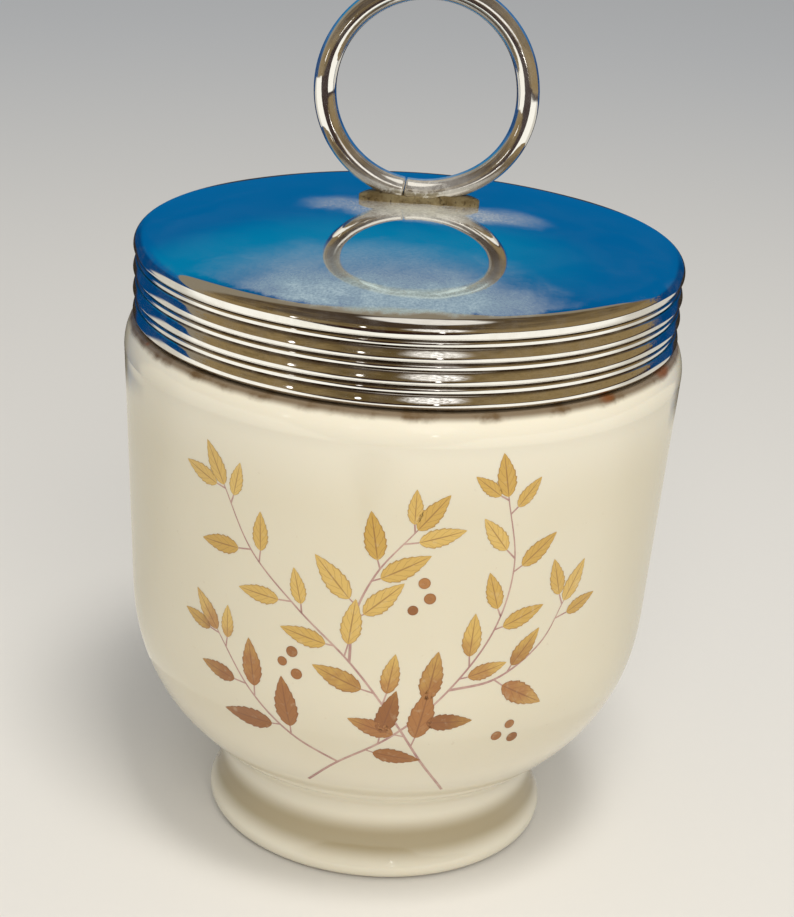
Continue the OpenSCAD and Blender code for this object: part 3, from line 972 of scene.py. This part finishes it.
def layOnSurface(sheet, geometry, given):
    # pulls every point onto the surface, a hair above it
    surface = sheet.node("ObjectInfo", {"Object": given["Surface"]}, out=4, transform_space="RELATIVE")
    nearest = sheet.node("Proximity", {"Geometry": surface}, target_element="FACES")
    links = {"Mesh": surface, "Value": sheet.node("InputNormal")}
    normal = sheet.node("SampleNearestSurface", links, data_type="FLOAT_VECTOR")
    raised = sheet.node("ShaderNodeVectorMath", {0: normal, "Scale": given["Lift"]}, operation="SCALE")
    place = sheet.vector("ADD", nearest, raised)
    return sheet.node("SetPosition", {"Geometry": geometry, "Position": place})


def leafTree():
    sizes = ("Leaf length", "Leaf width", "Berry radius", "Lift")
    sheet, given = newTree("leavesOnSurface", {"Surface": "Object", **dict.fromkeys(sizes, "Float")})
    blade = sheet.node("MeshGrid", {"Size X": 1.0, "Size Y": 1.0, "Vertices X": 33, "Vertices Y": 7})
    gridX, gridY, _ = sheet.split(sheet.node("InputPosition"))
    along = gridX + 0.5
    across = gridY * 2.0
    blade = storeAttribute(sheet, blade, "along", along)
    blade = storeAttribute(sheet, blade, "across", across)
    belly = sheet.maths("SINE", (along ** 0.72) * pi)
    tooth = sheet.maths("FRACT", along * 7.0)
    width = (belly ** 0.85) * (0.90 + tooth * 0.16)
    place = sheet.combine({0: along * given["Leaf length"], 1: across * width * given["Leaf width"] / 2.0})
    blade = sheet.node("SetPosition", {"Geometry": blade, "Position": place})
    links = {"Vertices": 24, "Radius": given["Berry radius"]}
    disc = sheet.node("MeshCircle", links, fill_type="TRIANGLE_FAN")
    reach = sheet.vector("LENGTH", sheet.node("InputPosition"))
    disc = storeAttribute(sheet, disc, "across", reach / given["Berry radius"])
    disc = storeAttribute(sheet, disc, "along", 0.3)
    links = {"Primary Axis": readAttribute(sheet, "outward", "FLOAT_VECTOR"),
             "Secondary Axis": readAttribute(sheet, "heading", "FLOAT_VECTOR")}
    turn = sheet.node("FunctionNodeAxesToRotation", links, primary_axis="Z", secondary_axis="X")
    berry = readAttribute(sheet, "berry")
    size = readAttribute(sheet, "size")
    both = sheet.node("JoinGeometry")
    for chosen, shape in ((berry, disc), (1.0 - berry, blade)):
        placed = sheet.node("InstanceOnPoints", {
            "Points": given["Geometry"], "Selection": chosen, "Instance": shape,
            "Rotation": turn, "Scale": size})
        sheet.feed(both.socket.node.inputs[0], placed)
    flat = sheet.node("RealizeInstances", {0: both})
    return closeTree(sheet, layOnSurface(sheet, flat, given), given)


def stemTree():
    sheet, given = newTree("stemsOnSurface", {"Surface": "Object", "Lift": "Float"})
    path = sheet.node("MeshToCurve", {"Mesh": given["Geometry"]})
    outward = readAttribute(sheet, "outward", "FLOAT_VECTOR")
    path = sheet.node("SetCurveNormal", {"Curve": path, "Normal": outward}, mode="FREE")
    ribbon = sheet.node("CurvePrimitiveLine", {"Start": (0, -1, 0), "End": (0, 1, 0)})
    ribbon = sheet.node("CurveToMesh", {
        "Curve": path, "Profile Curve": ribbon, "Scale": readAttribute(sheet, "half")})
    return closeTree(sheet, layOnSurface(sheet, ribbon, given), given)


leafPlaces, stemPaths = leafMesh(spray, cupSizes)
leafPrint = grow("leafPrint", leafPlaces, leafTree(), {
    "Surface": cupBody,
    "Leaf length": spray["leafLength"] * mm,
    "Leaf width": spray["leafWidth"] * mm,
    "Berry radius": spray["berryRadius"] * mm,
    "Lift": spray["lift"] * mm,
    "Material": makePrint(),
})
stemPrint = grow("stemPrint", stemMesh(stemPaths, cupSizes), stemTree(), {
    "Surface": cupBody,
    "Lift": spray["lift"] * mm * 0.5,
    "Material": makeStemPrint(),
})
for piece in (leafPrint, stemPrint):
    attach(piece, "cup")
print("spray made:", len(leafPrint.data.polygons), "leaf faces,", len(stemPrint.data.polygons), "stem faces")


# lid
lidSizes = {
    "diameter": 61.7,
    "crownHeight": 75.85,
    "crownDrop": 4.0,
    "crownPower": 2.3,
    "sheet": 0.5,
    "bottom": 62.2,
    "beadHeight": 2.45,
    "beads": 3,
    "grooveDepth": 0.4,
    "beadWidest": 0.75,  # how far down a bead is widest
    "beadFace": 1.4,
    "beadTurn": 1.8,
    "creaseDepth": 0.5,
    "ribEnd": 0.30,  # a fine rib fills the top of each bead, this far down
    "ribHeight": 0.2,
    "faceTop": 0.31,  # how far in the face starts under the rib
    "edgeRadius": 1.6,
    "crownSteps": 64,
    "insideSteps": 32,
    "hemInset": 1.5,
    "hemRound": 0.22,  # where the skirt turns in
    "hemCurl": 0.25,  # where the turned-in edge ends
}


def crownSpan(d):
    edgeX = d["diameter"] / 2 - d["edgeRadius"]
    fall = d["crownPower"] * d["crownDrop"]
    lean = atan(fall / (edgeX + d["edgeRadius"] * sin(atan(fall / edgeX))))
    return edgeX, lean, edgeX + d["edgeRadius"] * sin(lean)


def crownZ(d, radius):
    return d["crownHeight"] - d["crownDrop"] * (radius / crownSpan(d)[2]) ** d["crownPower"]


def lidOutline(d, inset):
    edgeX, lean, span = crownSpan(d)
    lidR = d["diameter"] / 2
    edgeY = d["crownHeight"] - d["crownDrop"] - d["edgeRadius"] * cos(lean)
    skirtTop = d["bottom"] + d["beads"] * d["beadHeight"]
    points = []
    count = d["insideSteps"] if inset else d["crownSteps"]
    for i in range(count + 1):
        x = span * i / count
        slope = atan(d["crownPower"] * d["crownDrop"] / span * (x / span) ** (d["crownPower"] - 1))
        points.append((x - inset * sin(slope), crownZ(d, x) - inset * cos(slope)))
    points += arcPoints((edgeX, edgeY), d["edgeRadius"] - inset, 87 - degrees(lean), 4, 22)
    points += [(lidR - inset - d["grooveDepth"] * (i / 14) ** 2, edgeY + (skirtTop - edgeY) * i / 14)
               for i in range(14)]
    widest = d["beadWidest"]
    rib = d["ribEnd"]
    steps = list(rib * (1 - np.cos(np.linspace(0, pi, 15))) / 2)
    steps += [rib + 0.012, rib + 0.025, rib + 0.045] + list(np.linspace(rib + 0.07, widest, 9))
    steps += list(widest + (1 - widest) * np.linspace(0, 1, 12)[1:-1])
    for bead in range(d["beads"], 0, -1):
        for t in (steps[:1] if inset else steps):
            if t < rib:
                depth = d["creaseDepth"] - d["ribHeight"] * sqrt(max(0, 1 - (2 * t / rib - 1) ** 2))
            elif t < widest:
                depth = d["faceTop"] * ((widest - t) / (widest - rib)) ** d["beadFace"]
                depth += (d["creaseDepth"] - d["faceTop"]) * max(0, 1 - (t - rib) / 0.06) ** 2
            else:
                depth = d["creaseDepth"] * ((t - widest) / (1 - widest)) ** d["beadTurn"]
            depth = d["grooveDepth"] if inset else depth
            points.append((lidR - inset - depth, d["bottom"] + d["beadHeight"] * (bead - t)))
    points[0] = (0, points[0][1])
    return points


def lidProfile(d):
    outer = lidOutline(d, 0)
    inner = lidOutline(d, d["sheet"])
    lidR = d["diameter"] / 2
    low = d["bottom"]
    high = low + d["sheet"]
    hemX = lidR - d["hemInset"]
    outX = lidR - d["grooveDepth"]
    turn, curl = d["hemRound"], d["hemCurl"]
    hem = arcPoints((outX - turn, low + turn), turn, -10, -90, 6)
    hem += between(hem[-1], (hemX + 0.2, low), 4)
    hem += arcPoints((hemX + curl, low + curl), curl, -90, -270, 9)
    hem += between(hem[-1], (outX - d["sheet"] - 0.05, high), 3)
    return outer + hem + inner[::-1]


grooveHeights = [lidSizes["bottom"] + lidSizes["beadHeight"] * (k - off)
                 for k in range(1, lidSizes["beads"] + 1) for off in (0.0, lidSizes["ribEnd"])]
lidMetal = makeLidMetal(steelLook, grooveHeights)
lidShell = lathe("lidShell", lidProfile(lidSizes), lidMetal, segments=320)
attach(lidShell, "lid")
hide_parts("lid_cap")

collarMetal = makeCollarMetal()
collarIn, collarOut = 29.0, 29.94  # radii in millimetres
collarProfile = [(collarOut, 62.72), (collarOut, 66.3), (collarOut, 69.8)]
collarProfile += arcPoints((29.52, 69.6), 0.36, 40, 140, 7) + between((29.12, 69.85), (collarIn, 69.5), 2)
collarProfile += between((collarIn, 69.5), (collarIn, 63.1), 10) + [(29.05, 62.85), (29.2, 62.74)]
collarShell = lathe("collarShell", collarProfile, collarMetal, closed=True)
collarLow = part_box("thread_collar")[0].z
collarThread = makeThread("collarThread", screwSizes["collar"], collarLow, pi / 2, collarMetal)
for piece in (collarShell, collarThread):
    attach(piece, "lid")
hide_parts("thread_collar")

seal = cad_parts["lid_seal"]
seal.data.materials.clear()
seal.data.materials.append(makeRubber())
print("lid made:", len(lidShell.data.polygons), "faces")


# ring and solder
ringSizes = {
    "diameter": 24.6,
    "wire": 2.5,
    "offset": 0.8,  # to the right of the crown's middle
    "bulge": (-33, 48, 0.28),  # degrees, half width, and how far it is out of round there
    "lift": 0.05,
    "seam": -99.0,  # degrees, where the wire's ends meet
    "seamGap": 0.06,
    "endRound": 0.27,
    "solderLength": 13.4,
    "solderFoot": 1.12,  # half width on the crown
    "solderSeed": 5,
}


def ringCentre(d):
    # radii of the wire and of the ring's centre line, and the height of its middle
    wireR = d["wire"] / 2
    return wireR, d["diameter"] / 2 - wireR, lidSizes["crownHeight"] + d["lift"] + d["diameter"] / 2


def makeRing(d, material):
    wireR, ringR, centreZ = ringCentre(d)
    gap = degrees(d["seamGap"] / ringR) / 2
    soft = d["endRound"]
    # a rounded end: how far along the wire, and how thick it is there
    stations = [(soft - x, r) for x, r in arcPoints((0, wireR - soft), soft, 0, 90, 6)]
    length = radians(360 - 2 * gap) * ringR
    walk = [(0.0, 0.0)] + stations
    walk += [(s, wireR) for s in np.linspace(soft, length - soft, 300)[1:-1]]
    walk += [(length - s, r) for s, r in reversed(stations)] + [(length, 0.0)]
    around = 56
    verts = []
    for s, r in walk:
        a = radians(d["seam"] + gap) + s / ringR
        off = (degrees(a) - d["bulge"][0] + 180) % 360 - 180
        out = d["bulge"][2] * cos(pi / 2 * min(1, abs(off) / d["bulge"][1])) ** 2
        for k in range(around):
            b = 2 * pi * k / around
            reach = ringR + out + r * cos(b)
            verts.append(((d["offset"] + reach * cos(a)) * mm, r * sin(b) * mm,
                          (centreZ + reach * sin(a)) * mm))
    return finishMesh("liftRing", verts, tubeFaces(len(walk), around), material)


def makeSolderBead(d, crown, material):
    # a fillet on both sides of the wire that feathers out on the crown
    wireR, ringR, centreZ = ringCentre(d)
    half = d["solderLength"] / 2
    chance = random.Random(d["solderSeed"])
    waves = [(chance.uniform(0.5, 2.6), chance.uniform(0, 6.28), chance.uniform(0.02, 0.09))
             for _ in range(9)]

    def wobble(x, k):
        return sum(h * sin(f * x + p + 1.7 * k) for f, p, h in waves)

    rows = []
    count = 90
    for i in range(count + 1):
        x = -half + 2 * half * i / count
        fade = max(0.0, 1 - abs(x / half) ** 3.5) ** 0.8
        # the wire's axis over this station
        axisZ = centreZ - sqrt(max(ringR ** 2 - x ** 2, 0))
        lean = sqrt(max(0.0, 1 - (x / ringR) ** 2))
        row = []
        for side in (-1, 1):
            foot = (d["solderFoot"] + wobble(x, side) * 0.9) * (0.55 + 0.45 * fade)
            away = (abs(x) / half) ** 3
            grip = radians(-28 + 40 * wobble(x, side + 3) - 50 * away)
            topY = wireR * 1.025 * cos(grip) * (1 - 0.55 * away)
            topZ = axisZ + wireR * sin(grip) / max(lean, 0.4)
            topZ -= (topZ - crownZ(crown, abs(x))) * 0.72 * away
            line = []
            for j in range(11):
                t = j / 10
                # concave from the foot up to the wire
                y = foot + (topY - foot) * (1 - (1 - t) ** 2.3)
                floorZ = crownZ(crown, hypot(x + d["offset"], y))
                z = floorZ - 0.04 + (topZ - floorZ) * t ** 1.55 * fade ** 0.6
                line.append((x + d["offset"], side * y, z))
            line.append((x + d["offset"], side * wireR * 0.8 * (1 - 0.7 * away), topZ))
            row += line if side < 0 else line[::-1]
        rows.append(row)
    verts = [tuple(c * mm for c in p) for row in rows for p in row]
    width = len(rows[0])
    faces = tubeFaces(len(rows), width)
    faces.append(list(range(width)))
    faces.append(list(range(count * width, count * width + width))[::-1])
    return finishMesh("solderBead", verts, faces, material)


liftRing = makeRing(ringSizes, makeWireMetal(steelLook))
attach(liftRing, "lid")
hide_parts("lift_ring")
solderBead = makeSolderBead(ringSizes, lidSizes, makeSolder(solderLook))
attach(solderBead, "lid")
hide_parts("ring_solder")
print("ring and solder made")
